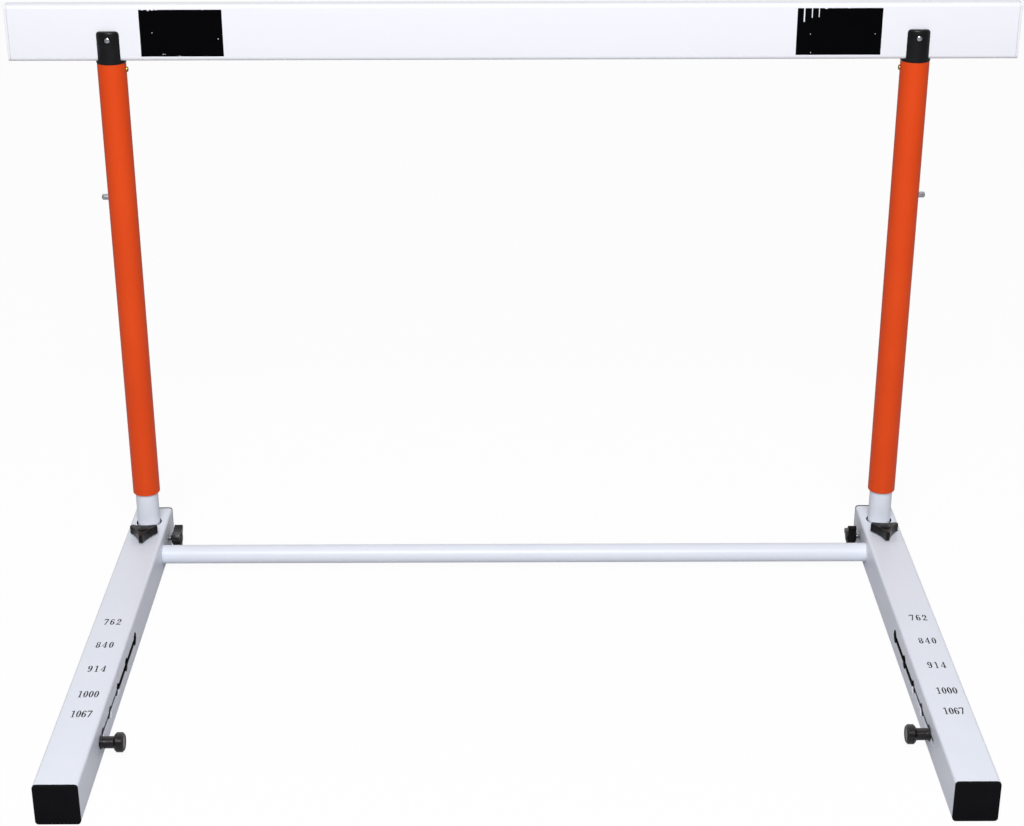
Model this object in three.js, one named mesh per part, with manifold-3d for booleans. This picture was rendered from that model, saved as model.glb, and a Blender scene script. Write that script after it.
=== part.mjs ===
import * as THREE from "three";
import { mergeVertices } from "three/addons/utils/BufferGeometryUtils.js";
import Module from "manifold-3d";

const wasm = await Module();
wasm.setup();

// A track hurdle at its lowest setting. Lengths are in millimetres and Z is up. X runs along the bar,
// and the feet point to -Y, towards the runner who comes to jump it.

// Crossbar, a hollow board with two chambers
const lowestHeight = 762;
const barOverhang = 125;
const barHeight = 70;
const barThickness = 22;
const barEdgeRadius = 5;
const barWall = 2.5;
const barWeb = 2;
const chamberRadius = 2;
const barCapFlange = 3;
const barCapDepth = 16;
const barCapWall = 2;
const barCapBevel = 0.8;

// Base legs, square tube with a plug in each end
const legLength = 682;
const legSize = 50;
const legWall = 2;
const legCornerRadius = 4;
const legCapFlange = 3;
const legCapDepth = 18;
const legCapWall = 2.4;
const legCapBevel = 1;
const barbWidth = 1.6;
const barbHeight = 0.5;
const barbPitch = 5.5;

// Posts, the sleeves that slide on them, and the tube that ties the legs together
const postSpacing = 1000;
const postFromRear = 45;
const postDiameter = 30;
const postWall = 2;
const postHoleGap = 2;
const slideGap = 1;
const sleeveWall = 2;
const sleeveBottom = 97;
const heightTravel = 305;
const crossTubeDiameter = 25;
const crossTubeWall = 1.5;
const crossTubeFromPost = 48.5;
const crossTubeEndRoom = 2;

// The settings 762, 840, 914, 1000 and 1067 mm, as shares of the travel
const heightShares = [0, 0.2557, 0.4984, 0.7803, 1];

// Plastic bush on top of each post
const bushCollarHeight = 12;
const bushSpigotDepth = 20;
const bushWall = 2.2;
const bushRunningGap = 0.2;
const bushChamfer = 0.8;
const bushTopRoom = 25.8;

// Sprung snap button that locks each sleeve
const buttonFromPostTop = 96.3;
const buttonDiameter = 7.8;
const buttonHoleGap = 0.4;
const buttonReach = 8;
const buttonRounding = 2;
const buttonFlangeDiameter = 10;
const buttonFlangeThickness = 1.2;
const springThickness = 0.8;
const springWidth = 7;
const springDepth = 46;
const springRise = 5;

// Moulded holder that carries the bar on each sleeve
const holderFlange = 3;
const holderFlangeOverhang = 0.5;
const holderFlangeBevel = 0.6;
const holderPlugDepth = 40;
const holderPlugWall = 3;
const tongueHeight = 38;
const tongueThickness = 6.5;
const tongueCornerRadius = 4;
const tongueTopBevel = 2.5;
const tongueScrewBelowMiddle = 8;
const tongueScrewSink = 2.5;
const tongueScrewDiameter = 4.8;
const tongueScrewHead = 7.5;
const tongueScrewHeadRoom = 0.5;
const tongueScrewBite = 5;
const holderScrewDrop = 9;
const holderScrewDiameter = 3.9;
const holderScrewHead = 6.8;
const holderScrewBite = 2;
const screwHoleGap = 0.3;

// Clamping screws and their three-armed knobs
const studDiameter = 8;
const studHoleGap = 0.5;
const studChamfer = 0.8;
const nutAcrossFlats = 13;
const knobTipRadius = 20;
const knobTipWidth = 7;
const knobThickness = 11;
const knobBevel = 1.4;
const knobHubRadius = 8.5;
const knobHubRise = 2.5;
const knobBossRadius = 7.5;
const knobBossHeight = 1.5;
const knobBoreDepth = 9;
const topKnobLift = 1.5;
const sideKnobLift = 5;

// Shares of the room in a leg that each nut takes, and of the tip radius that a knob's waist has
const nutShare = 0.6;
const postNutShare = 0.8;
const knobWaistShare = 0.45;

// Shares of a button's rounding, of a spring's width, of a shank's radius, and of a pan head's radius,
// how far out and how high
const buttonTipShare = 0.3;
const springBendShare = 0.125;
const screwPointShare = 0.5;
const panHeadShares = [
  [1, 0],
  [1, 0.3],
  [0.7, 0.5],
  [0, 0.6],
];

// Sliding counterweights, the slots that they are set along, and their clamping knobs
const notchFromLegFront = 141;
const notchTravel = 219;
const notchDiameter = 15;
const slitHeight = 6;
const slitCornerRadius = 2;
const slitAhead = 25;
const slitBehind = 9;
const leftWeightOffset = 16;
const rightWeightOffset = 5;
const weightAhead = 85;
const weightBehind = 122;
const weightRoom = 3;
const weightEdgeRadius = 4;
const weightStudDiameter = 5;
const weightStudBite = 18;
const weightKnobFlangeRadius = 8;
const weightKnobFlange = 2;
const weightKnobNeckRadius = 7;
const weightKnobNeck = 15;
const weightKnobShoulder = 3.5;
const weightKnobHeadRadius = 11.5;
const weightKnobHead = 10;
const weightKnobChamfer = 1.5;
const weightKnobBoreDepth = 22;

// The notches for 1067, 1000, 914, 840 and 762 mm, as shares of the notch travel
const notchShares = [0, 0.215, 0.45, 0.715, 1];

// Clearances, and how far a cutting tool runs past what it cuts
const seatGap = 0.3;
const overrun = 1;

// Facets of a full turn
const tubeSides = 28;
const smallSides = 12;
const knobSides = 24;
const notchSides = 20;
const springSteps = 18;
const cornerSteps = 2;

// Places that follow from the sizes
const legFront = postFromRear - legLength;
const legMiddle = legSize / 2;
const notchFront = -legFront - notchFromLegFront;
const legInside = legSize - 2 * legWall;
const barLength = postSpacing + 2 * barOverhang;
const barBottom = lowestHeight - barHeight;
const tongueScrewHeight = barHeight / 2 - tongueScrewBelowMiddle;
const postRadius = postDiameter / 2;
const postInside = postRadius - postWall;
const postBottom = legWall + seatGap;
const sleeveInside = postRadius + slideGap;
const sleeveRadius = sleeveInside + sleeveWall;
const holderBottom = barBottom - seatGap - holderFlange;
const sleeveTop = holderBottom - seatGap;
const postTop = sleeveTop - holderPlugDepth - bushTopRoom - bushCollarHeight - seatGap;
const postLength = postTop - postBottom;
const buttonHeight = postTop - buttonFromPostTop;
const holderRadius = sleeveRadius + holderFlangeOverhang;
const tongueBack = -holderRadius + tongueThickness;
const tongueWidth = 2 * Math.sqrt(holderRadius ** 2 - tongueBack ** 2);
const barFront = tongueBack + seatGap;
const barMiddle = barFront + barThickness / 2;
const crossTubeRadius = crossTubeDiameter / 2;
const crossTubeHoleRadius = crossTubeRadius + seatGap;
const studRadius = studDiameter / 2;
const studHoleRadius = studRadius + studHoleGap;
const studBoreRadius = studRadius + seatGap;
const buttonRadius = buttonDiameter / 2;
const buttonHoleRadius = buttonRadius + buttonHoleGap;

// Bases that turn an upright shape to lie along X, or along Y
const axisX = new THREE.Vector3(1, 0, 0);
const axisY = new THREE.Vector3(0, 1, 0);
const axisZ = new THREE.Vector3(0, 0, 1);
const alongX = new THREE.Matrix4().makeBasis(axisY, axisZ, axisX);
const alongY = new THREE.Matrix4().makeBasis(axisX.clone().negate(), axisZ, axisY);

// Solids and boolean work
function solid(geometry) {
  const bare = geometry.clone();
  bare.deleteAttribute("normal");
  bare.deleteAttribute("uv");
  const merged = mergeVertices(bare);
  const vertProperties = merged.attributes.position.array;
  const triVerts = new Uint32Array(merged.index.array);
  return new wasm.Manifold(new wasm.Mesh({ numProp: 3, vertProperties, triVerts }));
}

function shell(body) {
  const mesh = body.getMesh();
  const geometry = new THREE.BufferGeometry();
  geometry.setAttribute("position", new THREE.BufferAttribute(mesh.vertProperties, 3));
  geometry.setIndex(new THREE.BufferAttribute(mesh.triVerts, 1));
  const faceted = geometry.toNonIndexed();
  faceted.computeVertexNormals();
  return faceted;
}

function join(first, ...others) {
  return shell(others.reduce((body, other) => body.add(solid(other)), solid(first)));
}

function overlap(first, second) {
  return shell(solid(first).intersect(solid(second)));
}

function cut(first, ...tools) {
  return shell(tools.reduce((body, tool) => body.subtract(solid(tool)), solid(first)));
}

// Outlines
function roundedRect(width, height, radius) {
  const [x, y] = [width / 2 - radius, height / 2 - radius];
  const outline = new THREE.Shape();
  outline.absarc(x, -y, radius, -Math.PI / 2, 0);
  outline.absarc(x, y, radius, 0, Math.PI / 2);
  outline.absarc(-x, y, radius, Math.PI / 2, Math.PI);
  outline.absarc(-x, -y, radius, Math.PI, Math.PI * 1.5);
  outline.closePath();
  return outline;
}

function hollow(outer, ...inners) {
  outer.holes.push(...inners);
  return outer;
}

function circle(radius) {
  return new THREE.Shape().absarc(0, 0, radius, 0, Math.PI * 2);
}

// Plain forms, upright from z = 0
function prism(outline, length, curveSegments = cornerSteps) {
  return new THREE.ExtrudeGeometry(outline, { depth: length, bevelEnabled: false, curveSegments });
}

function softPrism(outline, length, bevel, curveSegments = cornerSteps) {
  const edge = { bevelSize: bevel, bevelThickness: bevel, bevelOffset: -bevel, bevelSegments: 1 };
  const geometry = new THREE.ExtrudeGeometry(outline, { depth: length - 2 * bevel, ...edge, curveSegments });
  return geometry.translate(0, 0, bevel);
}

function drum(radius, length, sides = smallSides) {
  const geometry = new THREE.CylinderGeometry(radius, radius, length, sides);
  return geometry.rotateX(Math.PI / 2).translate(0, 0, length / 2);
}

function pipe(radius, wall, length) {
  return prism(hollow(circle(radius), circle(radius - wall)), length, tubeSides / 2);
}

function turned(profile, sides = smallSides) {
  const points = profile.map(([radius, height]) => new THREE.Vector2(radius, height));
  return new THREE.LatheGeometry(points, sides).rotateX(Math.PI / 2);
}

function part(name, geometry, [color, roughness, metalness]) {
  const mesh = new THREE.Mesh(geometry, new THREE.MeshStandardMaterial({ color, roughness, metalness }));
  mesh.name = name;
  return mesh;
}

// Finishes: colour, roughness and metalness
const whitePaint = ["#e6e9f0", 0.45, 0];
const whiteBoard = ["#f3f3f6", 0.35, 0];
const orangePaint = ["#e4501e", 0.4, 0];
const blackPlastic = ["#141416", 0.5, 0];
const zincSteel = ["#c3c5c8", 0.35, 0.9];
const greyIron = ["#8b8d92", 0.6, 0.3];

// The crossbar
function chamber(shrink) {
  const width = barThickness - 2 * (barWall + shrink);
  const height = (barHeight - 2 * barWall - barWeb) / 2 - 2 * shrink;
  return roundedRect(width, height, chamberRadius);
}

function chamberCentre() {
  return barWeb / 2 + (barHeight - 2 * barWall - barWeb) / 4;
}

function crossbar() {
  const length = barLength - 2 * (barCapFlange + seatGap);
  const board = prism(roundedRect(barThickness, barHeight, barEdgeRadius), length);
  const chambers = [-1, 1].map((side) => {
    const bore = prism(chamber(0), length + 2 * overrun);
    return bore.translate(0, side * chamberCentre(), -overrun);
  });
  const tube = cut(board, ...chambers).applyMatrix4(alongX).translate(-length / 2, 0, 0);
  const holeRadius = tongueScrewDiameter / 2 + screwHoleGap;
  const screwHoles = [-1, 1].map((side) => {
    const hole = drum(holeRadius, barWall + 2 * overrun).applyMatrix4(alongY);
    const fromMiddle = tongueScrewHeight - barHeight / 2;
    return hole.translate((side * postSpacing) / 2, -barThickness / 2 - overrun, fromMiddle);
  });
  return cut(tube, ...screwHoles).translate(0, barMiddle, barBottom + barHeight / 2);
}

function crossbarEndCap() {
  const flange = softPrism(roundedRect(barThickness, barHeight, barEdgeRadius), barCapFlange, barCapBevel);
  const spigots = [-1, 1].map((side) => {
    const outline = hollow(chamber(seatGap), chamber(seatGap + barCapWall));
    const depth = barCapDepth + barCapFlange / 2;
    return prism(outline, depth).translate(0, side * chamberCentre(), -barCapDepth);
  });
  const place = [barLength / 2 - barCapFlange, barMiddle, barBottom + barHeight / 2];
  return join(flange, ...spigots).applyMatrix4(alongX).translate(...place);
}

// A leg: square tube with the holes for post, cross tube and clamps, and the notched slot
function notchedSlot() {
  const depth = legWall + 2 * overrun;
  const slitLength = slitAhead + notchTravel + slitBehind;
  const slit = prism(roundedRect(slitLength, slitHeight, slitCornerRadius), depth);
  slit.translate(slitLength / 2 - slitAhead - notchFront, 0, 0);
  const notches = notchShares.map((share) => {
    return drum(notchDiameter / 2, depth, notchSides).translate(share * notchTravel - notchFront, 0, 0);
  });
  return join(slit, ...notches).applyMatrix4(alongX);
}

function legTube() {
  const length = legLength - 2 * (legCapFlange + seatGap);
  const inner = roundedRect(legInside, legInside, legCornerRadius - legWall);
  const outline = hollow(roundedRect(legSize, legSize, legCornerRadius), inner);
  const tube = prism(outline, length).applyMatrix4(alongY);
  tube.translate(0, legFront + legCapFlange + seatGap, legMiddle);
  const throughWall = legWall + 2 * overrun;
  const topFace = legSize - legWall - overrun;
  const innerFace = legMiddle - legWall - overrun;
  const studHole = drum(studHoleRadius, throughWall);
  const sideStudHole = studHole.clone().applyMatrix4(alongX);
  const crossTubeHole = drum(crossTubeHoleRadius, throughWall, tubeSides).applyMatrix4(alongX);
  return cut(
    tube,
    drum(postRadius + postHoleGap, throughWall, tubeSides).translate(0, 0, topFace),
    studHole.translate(0, -crossTubeFromPost, topFace),
    sideStudHole.translate(innerFace, 0, legMiddle),
    crossTubeHole.translate(innerFace, -crossTubeFromPost, legMiddle),
    notchedSlot().translate(innerFace, 0, legMiddle),
  );
}

// A plug with a hollow spigot and two barbed ribs, its flange facing +Y
function legCap() {
  const spigotSize = legInside - 2 * (seatGap + barbHeight);
  const spigotRadius = legCornerRadius - legWall;
  const core = roundedRect(spigotSize - 2 * legCapWall, spigotSize - 2 * legCapWall, spigotRadius);
  const wall = hollow(roundedRect(spigotSize, spigotSize, spigotRadius), core);
  const spigot = prism(wall, legCapDepth + legCapFlange / 2);
  const flange = softPrism(roundedRect(legSize, legSize, legCornerRadius), legCapFlange, legCapBevel);
  const barbs = [1, 2].map((step) => {
    const barbSize = spigotSize + 2 * barbHeight;
    const inside = roundedRect(spigotSize - legCapWall, spigotSize - legCapWall, spigotRadius);
    const rib = prism(hollow(roundedRect(barbSize, barbSize, spigotRadius), inside), barbWidth);
    return rib.translate(0, 0, -step * barbPitch);
  });
  return join(flange, spigot.translate(0, 0, -legCapDepth), ...barbs).applyMatrix4(alongY);
}

function crossTube() {
  const length = postSpacing + legInside - 2 * crossTubeEndRoom;
  const tube = pipe(crossTubeRadius, crossTubeWall, length).applyMatrix4(alongX);
  return tube.translate(-length / 2, -crossTubeFromPost, legMiddle);
}

// A post, the bush on its top and the sleeve that slides on them
function crosswiseHole(radius, from, to) {
  return drum(radius, to - from).applyMatrix4(alongX).translate(from, 0, 0);
}

function post() {
  const hole = crosswiseHole(buttonHoleRadius, -postRadius - overrun, -postInside + overrun * 2);
  const tube = pipe(postRadius, postWall, postLength).translate(0, 0, postBottom);
  return cut(tube, hole.translate(0, 0, buttonHeight));
}

function postGuideBush() {
  const spigot = postInside - seatGap;
  const bore = spigot - bushWall;
  const collar = sleeveInside - bushRunningGap;
  const low = postTop + seatGap;
  const high = low + bushCollarHeight;
  const profile = [
    [bore, low - bushSpigotDepth],
    [spigot, low - bushSpigotDepth],
    [spigot, low],
    [collar - bushChamfer, low],
    [collar, low + bushChamfer],
    [collar, high - bushChamfer],
    [collar - bushChamfer, high],
    [bore, high],
    [bore, low - bushSpigotDepth],
  ];
  return turned(profile, tubeSides);
}

function sleeve() {
  const tube = pipe(sleeveRadius, sleeveWall, sleeveTop - sleeveBottom).translate(0, 0, sleeveBottom);
  const lockHoles = heightShares.map((share) => {
    const hole = crosswiseHole(buttonHoleRadius, -sleeveRadius - overrun, -sleeveInside + 2 * overrun);
    return hole.translate(0, 0, buttonHeight - share * heightTravel);
  });
  const screwRadius = holderScrewDiameter / 2 + screwHoleGap;
  const screwHole = crosswiseHole(screwRadius, sleeveInside - 2 * overrun, sleeveRadius + overrun);
  return cut(tube, ...lockHoles, screwHole.translate(0, 0, sleeveTop - holderScrewDrop));
}

// The snap button's flange lies against the post's round inside
function buttonSeat() {
  return Math.sqrt(postInside ** 2 - (buttonFlangeDiameter / 2) ** 2) - seatGap;
}

function snapButton() {
  const seat = buttonSeat();
  const tip = sleeveRadius + buttonReach;
  const profile = [
    [0, seat - buttonFlangeThickness],
    [buttonFlangeDiameter / 2, seat - buttonFlangeThickness],
    [buttonFlangeDiameter / 2, seat],
    [buttonRadius, seat],
    [buttonRadius, tip - buttonRounding],
    [buttonRadius - buttonRounding * buttonTipShare, tip - buttonRounding * buttonTipShare],
    [buttonRadius - buttonRounding, tip],
    [0, tip],
  ];
  return turned(profile).applyMatrix4(alongX).rotateZ(Math.PI).translate(0, 0, buttonHeight);
}

// A leaf bent to a V, whose arms press the button out and the post's far wall
function snapSpring() {
  const near = -buttonSeat() + buttonFlangeThickness + seatGap + springThickness / 2;
  const farWall = Math.sqrt(postInside ** 2 - (springWidth / 2) ** 2) - seatGap - springThickness / 2;
  const middle = (near + farWall) / 2;
  const bend = (farWall - near) * springBendShare;
  const path = new THREE.CatmullRomCurve3([
    new THREE.Vector3(near, springRise, 0),
    new THREE.Vector3(near, -springRise, 0),
    new THREE.Vector3(middle - bend, -springDepth + bend, 0),
    new THREE.Vector3(middle, -springDepth, 0),
    new THREE.Vector3(middle + bend, -springDepth + bend, 0),
    new THREE.Vector3(farWall, -springRise, 0),
    new THREE.Vector3(farWall, springRise, 0),
  ]);
  const sideOf = (offset) => (_, step) => {
    const at = path.getPoint(step / springSteps);
    const tangent = path.getTangent(step / springSteps);
    return new THREE.Vector2(at.x - tangent.y * offset, at.y + tangent.x * offset);
  };
  const inner = Array.from({ length: springSteps + 1 }, sideOf(springThickness / 2));
  const outer = Array.from({ length: springSteps + 1 }, sideOf(-springThickness / 2)).reverse();
  const leaf = prism(new THREE.Shape([...inner, ...outer]), springWidth);
  return leaf.translate(0, 0, -springWidth / 2).rotateX(Math.PI / 2).translate(0, 0, buttonHeight);
}

// The moulded holder: a cup in the sleeve, a flange under the bar and a tongue in front of it
function barHolder() {
  const plugRadius = sleeveInside - seatGap;
  const bore = plugRadius - holderPlugWall;
  const flangeMiddle = holderBottom + holderFlange / 2;
  const plug = turned(
    [
      [0, holderBottom],
      [bore, holderBottom],
      [bore, sleeveTop - holderPlugDepth],
      [plugRadius, sleeveTop - holderPlugDepth],
      [plugRadius, flangeMiddle],
      [0, flangeMiddle],
    ],
    tubeSides,
  );
  const rim = softPrism(circle(holderRadius), holderFlange, holderFlangeBevel, tubeSides / 2);
  rim.translate(0, 0, holderBottom);
  const rise = tongueHeight + holderFlange / 2;
  const columnHeight = tongueHeight + tongueTopBevel;
  const column = softPrism(circle(holderRadius), columnHeight, tongueTopBevel, tubeSides / 2);
  column.translate(0, 0, holderBottom + holderFlange - tongueTopBevel);
  const plate = prism(roundedRect(tongueWidth, 2 * rise, tongueCornerRadius), tongueThickness + overrun);
  plate.applyMatrix4(alongY).translate(0, -holderRadius - overrun, flangeMiddle);
  const tongue = overlap(column, plate);
  const screwPlace = [0, -holderRadius - overrun, barBottom + tongueScrewHeight];
  const tongueHole = drum(tongueScrewDiameter / 2 + screwHoleGap, tongueThickness + 2 * overrun);
  const recess = drum(tongueScrewHead / 2 + tongueScrewHeadRoom, tongueScrewSink + overrun);
  const plugHoleRadius = holderScrewDiameter / 2 + screwHoleGap;
  const plugHole = crosswiseHole(plugHoleRadius, bore - overrun, plugRadius + overrun);
  return cut(
    join(plug, rim, tongue),
    tongueHole.applyMatrix4(alongY).translate(...screwPlace),
    recess.applyMatrix4(alongY).translate(...screwPlace),
    plugHole.translate(0, 0, sleeveTop - holderScrewDrop),
  );
}

// A pan-head screw, its head resting on z = 0 and its shank below
function panScrew(headDiameter, diameter, length) {
  const [head, shank] = [headDiameter / 2, diameter / 2];
  return turned([
    [0, -length],
    [shank * screwPointShare, -length],
    [shank, -length + shank * screwPointShare],
    [shank, 0],
    ...panHeadShares.map(([out, up]) => [head * out, head * up]),
  ]);
}

function tongueScrew() {
  const length = tongueThickness - tongueScrewSink + 2 * seatGap + barWall + tongueScrewBite;
  const screw = panScrew(tongueScrewHead, tongueScrewDiameter, length).applyMatrix4(alongY).rotateZ(Math.PI);
  return screw.translate(0, tongueScrewSink - holderRadius - seatGap, barBottom + tongueScrewHeight);
}

function holderScrew() {
  const length = sleeveWall + holderPlugWall + 2 * seatGap + holderScrewBite;
  const screw = panScrew(holderScrewHead, holderScrewDiameter, length).applyMatrix4(alongX);
  return screw.translate(sleeveRadius + seatGap, 0, sleeveTop - holderScrewDrop);
}

// Clamping screws: a welded nut, a stud and a three-armed knob, upright from z = 0
function clampNut(thickness) {
  const nut = drum(nutAcrossFlats / Math.sqrt(3), thickness, 6);
  return cut(nut, drum(studBoreRadius, thickness + 2 * overrun).translate(0, 0, -overrun));
}

function rod(radius, length, chamfer) {
  return turned([
    [0, 0],
    [radius - chamfer, 0],
    [radius, chamfer],
    [radius, length - chamfer],
    [radius - chamfer, length],
    [0, length],
  ]);
}

function armedOutline() {
  const halfTip = knobTipWidth / 2 / knobTipRadius;
  const waist = knobTipRadius * knobWaistShare;
  const at = (radius, angle) => new THREE.Vector2(radius * Math.cos(angle), radius * Math.sin(angle));
  const third = (Math.PI * 2) / 3;
  const points = [0, 1, 2].flatMap((arm) => {
    const [start, end] = [arm * third - halfTip, arm * third + halfTip];
    const tip = new THREE.EllipseCurve(0, 0, knobTipRadius, knobTipRadius, start, end);
    const [from, to] = [at(knobTipRadius, end), at(knobTipRadius, start + third)];
    const side = new THREE.QuadraticBezierCurve(from, at(waist, (arm + 0.5) * third), to);
    return [...tip.getPoints(cornerSteps), ...side.getPoints(cornerSteps * 3).slice(1, -1)];
  });
  return new THREE.Shape(points);
}

function armedKnob() {
  const arms = softPrism(armedOutline(), knobThickness, knobBevel);
  arms.rotateZ(-Math.PI / 2).translate(0, 0, knobBossHeight);
  const hubHeight = knobThickness / 2 + knobHubRise;
  const hub = turned(
    [
      [0, 0],
      [knobHubRadius, 0],
      [knobHubRadius, hubHeight - knobBevel],
      [knobHubRadius - knobBevel, hubHeight],
      [0, hubHeight],
    ],
    knobSides,
  );
  hub.translate(0, 0, knobBossHeight + knobThickness / 2);
  const boss = drum(knobBossRadius, knobBossHeight + knobThickness / 2);
  const bore = drum(studBoreRadius, knobBoreDepth + overrun).translate(0, 0, -overrun);
  return cut(join(arms, hub, boss), bore);
}

// Counterweight, its stud and its clamping knob
function counterweight(weightY) {
  const size = legInside - weightRoom;
  const outline = roundedRect(size, size, weightEdgeRadius);
  const block = softPrism(outline, weightAhead + weightBehind, weightEdgeRadius / 2);
  block.applyMatrix4(alongY).translate(0, weightY - weightAhead, legWall + seatGap + size / 2);
  const boreRadius = weightStudDiameter / 2 + seatGap;
  const bore = crosswiseHole(boreRadius, size / 2 - weightStudBite, size / 2 + overrun);
  return cut(block, bore.translate(0, weightY, legMiddle));
}

function weightKnob() {
  const neckEnd = weightKnobFlange + weightKnobNeck;
  const headStart = neckEnd + weightKnobShoulder;
  const headEnd = headStart + weightKnobHead;
  const body = turned(
    [
      [0, 0],
      [weightKnobFlangeRadius, 0],
      [weightKnobFlangeRadius, weightKnobFlange],
      [weightKnobNeckRadius, weightKnobFlange],
      [weightKnobNeckRadius, neckEnd],
      [weightKnobHeadRadius, headStart],
      [weightKnobHeadRadius, headEnd - weightKnobChamfer],
      [weightKnobHeadRadius - weightKnobChamfer, headEnd],
      [0, headEnd],
    ],
    knobSides,
  );
  const bore = drum(weightStudDiameter / 2 + seatGap, weightKnobBoreDepth + overrun);
  return cut(body, bore.translate(0, 0, -overrun));
}

// All that stands at one end of the bar, with its inner side facing +X
function hurdleEnd(side, weightOffset) {
  const weightY = -notchFront - weightOffset;
  const end = new THREE.Group();
  const add = (name, geometry, finish) => end.add(part(`${name}_${side}`, geometry, finish));

  add("leg_tube", legTube(), whitePaint);
  const frontCap = legCap().rotateZ(Math.PI).translate(0, legFront + legCapFlange, legMiddle);
  add("leg_front_cap", frontCap, blackPlastic);
  add("leg_rear_cap", legCap().translate(0, postFromRear - legCapFlange, legMiddle), blackPlastic);

  add("post", post(), whitePaint);
  add("post_guide_bush", postGuideBush(), blackPlastic);
  add("snap_spring", snapSpring(), zincSteel);
  add("snap_button", snapButton(), zincSteel);

  add("sleeve", sleeve(), orangePaint);
  add("bar_holder", barHolder(), blackPlastic);
  add("holder_screw", holderScrew(), zincSteel);
  add("tongue_screw", tongueScrew(), zincSteel);

  const topNutThickness = (legInside / 2 - crossTubeRadius) * nutShare;
  const topNutBottom = legSize - legWall - seatGap - topNutThickness;
  const topNut = clampNut(topNutThickness).translate(0, -crossTubeFromPost, topNutBottom);
  add("tube_clamp_nut", topNut, zincSteel);
  const topStudFoot = legMiddle + crossTubeRadius + seatGap;
  const topStudLength = legSize + topKnobLift + knobBoreDepth - seatGap - topStudFoot;
  const topStud = rod(studRadius, topStudLength, studChamfer).translate(0, -crossTubeFromPost, topStudFoot);
  add("tube_clamp_stud", topStud, zincSteel);
  add("tube_clamp_knob", armedKnob().translate(0, -crossTubeFromPost, legSize + topKnobLift), blackPlastic);

  const sideNutThickness = (legInside / 2 - postRadius) * postNutShare;
  const sideNut = clampNut(sideNutThickness).applyMatrix4(alongX);
  sideNut.translate(legInside / 2 - seatGap - sideNutThickness, 0, legMiddle);
  add("post_clamp_nut", sideNut, zincSteel);
  const sideStudFoot = postRadius + seatGap;
  const sideStudLength = legMiddle + sideKnobLift + knobBoreDepth - seatGap - sideStudFoot;
  const sideStud = rod(studRadius, sideStudLength, studChamfer).applyMatrix4(alongX);
  add("post_clamp_stud", sideStud.translate(sideStudFoot, 0, legMiddle), zincSteel);
  const sideKnob = armedKnob().applyMatrix4(alongX);
  add("post_clamp_knob", sideKnob.translate(legMiddle + sideKnobLift, 0, legMiddle), blackPlastic);

  add("counterweight", counterweight(weightY), greyIron);
  const weightStudFoot = (legInside - weightRoom) / 2 - weightStudBite + seatGap;
  const weightStudLength = legMiddle + weightKnobBoreDepth - weightStudFoot;
  const weightStud = rod(weightStudDiameter / 2, weightStudLength, studChamfer).applyMatrix4(alongX);
  add("weight_stud", weightStud.translate(weightStudFoot, weightY, legMiddle), zincSteel);
  const clampKnob = weightKnob().applyMatrix4(alongX);
  add("weight_knob", clampKnob.translate(legMiddle + seatGap, weightY, legMiddle), blackPlastic);
  return end;
}

// The whole hurdle, centred on its own footprint
const hurdle = new THREE.Group();
hurdle.position.y = legLength / 2 - postFromRear;

const leftEnd = hurdleEnd("left", leftWeightOffset);
leftEnd.position.x = -postSpacing / 2;
const rightEnd = hurdleEnd("right", rightWeightOffset);
rightEnd.position.x = postSpacing / 2;
rightEnd.scale.x = -1;

hurdle.add(leftEnd, rightEnd);
hurdle.add(part("cross_tube", crossTube(), whitePaint));
hurdle.add(part("crossbar", crossbar(), whiteBoard));
hurdle.add(part("crossbar_end_cap_right", crossbarEndCap(), whiteBoard));
const leftCap = part("crossbar_end_cap_left", crossbarEndCap(), whiteBoard);
leftCap.scale.x = -1;
hurdle.add(leftCap);

export default hurdle;
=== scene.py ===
import bpy
import math
from mathutils import Matrix, Vector


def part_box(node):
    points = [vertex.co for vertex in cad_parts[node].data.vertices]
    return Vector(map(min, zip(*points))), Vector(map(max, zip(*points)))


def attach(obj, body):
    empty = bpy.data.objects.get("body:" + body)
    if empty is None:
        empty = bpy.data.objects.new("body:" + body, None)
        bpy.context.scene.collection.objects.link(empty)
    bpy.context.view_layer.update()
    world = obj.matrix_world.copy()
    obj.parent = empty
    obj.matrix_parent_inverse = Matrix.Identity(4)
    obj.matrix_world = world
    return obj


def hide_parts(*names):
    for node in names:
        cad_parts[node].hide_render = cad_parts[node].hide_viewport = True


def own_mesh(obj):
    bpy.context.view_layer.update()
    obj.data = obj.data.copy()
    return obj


# A track hurdle at its lowest setting. Dictionaries are in millimetres, the scene is in metres.
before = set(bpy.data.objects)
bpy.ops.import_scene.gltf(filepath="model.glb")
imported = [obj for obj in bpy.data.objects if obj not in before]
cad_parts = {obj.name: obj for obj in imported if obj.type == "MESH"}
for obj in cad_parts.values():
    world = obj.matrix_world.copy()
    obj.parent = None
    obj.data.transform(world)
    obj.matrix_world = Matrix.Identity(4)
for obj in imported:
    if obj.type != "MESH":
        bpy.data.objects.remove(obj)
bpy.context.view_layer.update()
mm = 0.001
over = 1  # cutters and joined forms reach this far past the face that they meet
near = 0.1  # a face or an edge this close to a plane lies on it
along = 0.9  # a normal or an edge with this share of its way on an axis runs along it

# Angles in radians, clip in metres
cameraView = {"place": (-9.57, -2175.25, 1285.7), "lens": 70.75, "sensor": 36, "clip": (0.05, 100),
              "pitch": 0.4103, "yaw": 0.0028, "roll": -0.002}


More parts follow.
